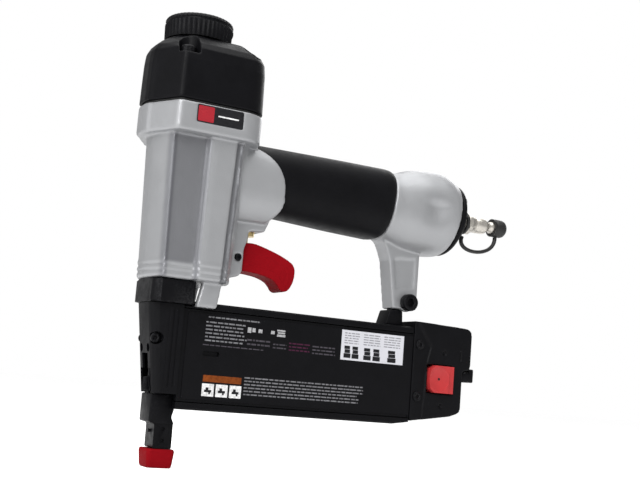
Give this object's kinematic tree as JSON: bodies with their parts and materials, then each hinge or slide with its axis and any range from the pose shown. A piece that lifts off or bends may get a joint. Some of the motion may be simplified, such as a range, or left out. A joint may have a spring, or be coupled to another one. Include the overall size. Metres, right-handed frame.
{
  "type": "brad nailer",
  "caption": "Pneumatic brad nailer with a cast body, rubber grip, red trigger, spring-loaded nose contact and a side-loading magazine that slides open.",
  "frame": {"origin": "flat bottom face of the nose tip, on the tool's middle plane, 4.5 mm behind the drive axis", "axes": "+Z along the barrel from the nose to the exhaust deflector, +X from the nose towards the air plug, +Y away from the loading side"},
  "size_m": [0.251, 0.058, 0.2502],
  "materials": {
    "cast_housing": "satin silver paint over a casting",
    "cap_black": "satin black",
    "grip_rubber": "fine matt grain",
    "black_plastic": "satin black with fine grain",
    "black_metal": "black oxide",
    "rail_metal": "black anodised",
    "red_plastic": "satin red",
    "steel": "bright steel",
    "brass": "machined",
    "aluminium": "turned",
    "seal_rubber": "smooth",
    "bumper_rubber": "smooth amber"
  },
  "bodies": {
    "frame": {"housing": "cast_housing", "top_cap": "cap_black", "cap_gasket": "seal_rubber", "cap_screw_1": "black_metal", "cap_screw_2": "black_metal", "cap_screw_3": "black_metal", "cap_screw_4": "black_metal", "nose_screw_1": "black_metal", "nose_screw_2": "black_metal", "nose_screw_3": "black_metal", "nose_screw_4": "black_metal", "end_cap_screw_1": "black_metal", "end_cap_screw_2": "black_metal", "end_cap_screw_3": "black_metal", "end_cap_screw_4": "black_metal", "cover_screw_1": "black_metal", "cover_screw_2": "black_metal", "deflector_screw": "black_metal", "cylinder": "aluminium", "cylinder_seal": "seal_rubber", "bumper": "bumper_rubber", "grip_sleeve": "grip_rubber", "end_cap": "cap_black", "end_cap_gasket": "seal_rubber", "air_plug": "steel", "strap_ring": "grip_rubber", "cap_strap": "grip_rubber", "valve_body": "brass", "trigger_pin": "black_metal", "nose_body": "black_metal", "nose_cover": "black_plastic", "magazine_rail": "rail_metal", "magazine_bracket": "black_plastic", "bracket_bolt": "black_metal", "bracket_nut": "black_metal", "head_valve_spring": "steel", "valve_spring": "steel", "work_contact_spring": "steel", "pusher_spring": "steel"},
    "deflector": {"exhaust_deflector": "cap_black"},
    "head_valve": {"head_valve": "aluminium", "head_valve_o_ring": "seal_rubber"},
    "piston": {"piston": "aluminium", "piston_o_ring": "seal_rubber", "driver_blade": "steel"},
    "trigger": {"trigger": "red_plastic"},
    "valve_stem": {"valve_stem": "brass"},
    "work_contact": {"work_contact": "black_metal", "no_mar_tip": "red_plastic"},
    "depth_wheel": {"depth_wheel": "black_metal"},
    "magazine_slide": {"magazine_cover": "black_plastic", "slide_end": "black_plastic", "release_tab": "black_plastic", "slide_screw_1": "black_metal", "slide_screw_2": "black_metal", "latch_spring": "steel"},
    "latch_button": {"latch_button": "red_plastic"},
    "pusher": {"pusher": "steel"},
    "dust_cap": {"dust_cap": "grip_rubber"}
  },
  "joints": [
    {"name": "deflector_turn", "type": "hinge", "parent": "frame", "child": "deflector", "pos_m": [-0.0045, 0, 0.244], "axis": [0, 0, 1], "continuous": true},
    {"name": "head_valve_lift", "type": "slide", "parent": "frame", "child": "head_valve", "axis": [0, 0, 1], "range_m": [0, 0.003], "stiffness_N_per_m": 2000, "springref_m": -0.002, "deforming": ["head_valve_spring"]},
    {"name": "piston_stroke", "type": "slide", "parent": "frame", "child": "piston", "axis": [0, 0, -1], "range_m": [0, 0.07]},
    {"name": "trigger_pull", "type": "hinge", "parent": "frame", "child": "trigger", "pos_m": [0.0277, 0, 0.118], "axis": [0, -1, 0], "range_deg": [0, 10], "stiffness_Nm_per_rad": 0.5, "springref_deg": -3.44},
    {"name": "valve_stem_push", "type": "slide", "parent": "frame", "child": "valve_stem", "axis": [0, 0, 1], "range_m": [0, 0.0018], "deforming": ["valve_spring"]},
    {"name": "work_contact_lift", "type": "slide", "parent": "frame", "child": "work_contact", "axis": [0, 0, 1], "range_m": [0, 0.012], "stiffness_N_per_m": 500, "springref_m": -0.012, "deforming": ["work_contact_spring"]},
    {"name": "depth_wheel_turn", "type": "hinge", "parent": "work_contact", "child": "depth_wheel", "pos_m": [-0.0127, 0, 0.044], "axis": [0, 0, 1], "continuous": true},
    {"name": "magazine_open", "type": "slide", "parent": "frame", "child": "magazine_slide", "axis": [1, 0, 0], "range_m": [0, 0.13]},
    {"name": "latch_press", "type": "slide", "parent": "magazine_slide", "child": "latch_button", "axis": [0, 1, 0], "range_m": [0, 0.003], "stiffness_N_per_m": 1000, "springref_m": -0.002, "deforming": ["latch_spring"]},
    {"name": "pusher_run", "type": "slide", "parent": "frame", "child": "pusher", "axis": [1, 0, 0], "range_m": [0, 0.115], "stiffness_N_per_m": 60, "springref_m": -0.05, "deforming": ["pusher_spring"]},
    {"name": "dust_cap_pull", "type": "slide", "parent": "frame", "child": "dust_cap", "axis": [1, 0, 0], "range_m": [0, 0.01], "deforming": ["cap_strap"]}
  ],
  "couplings": [
    {"joint": "valve_stem_push", "follows": "trigger_pull", "m_per_rad": 0.01}
  ]
}
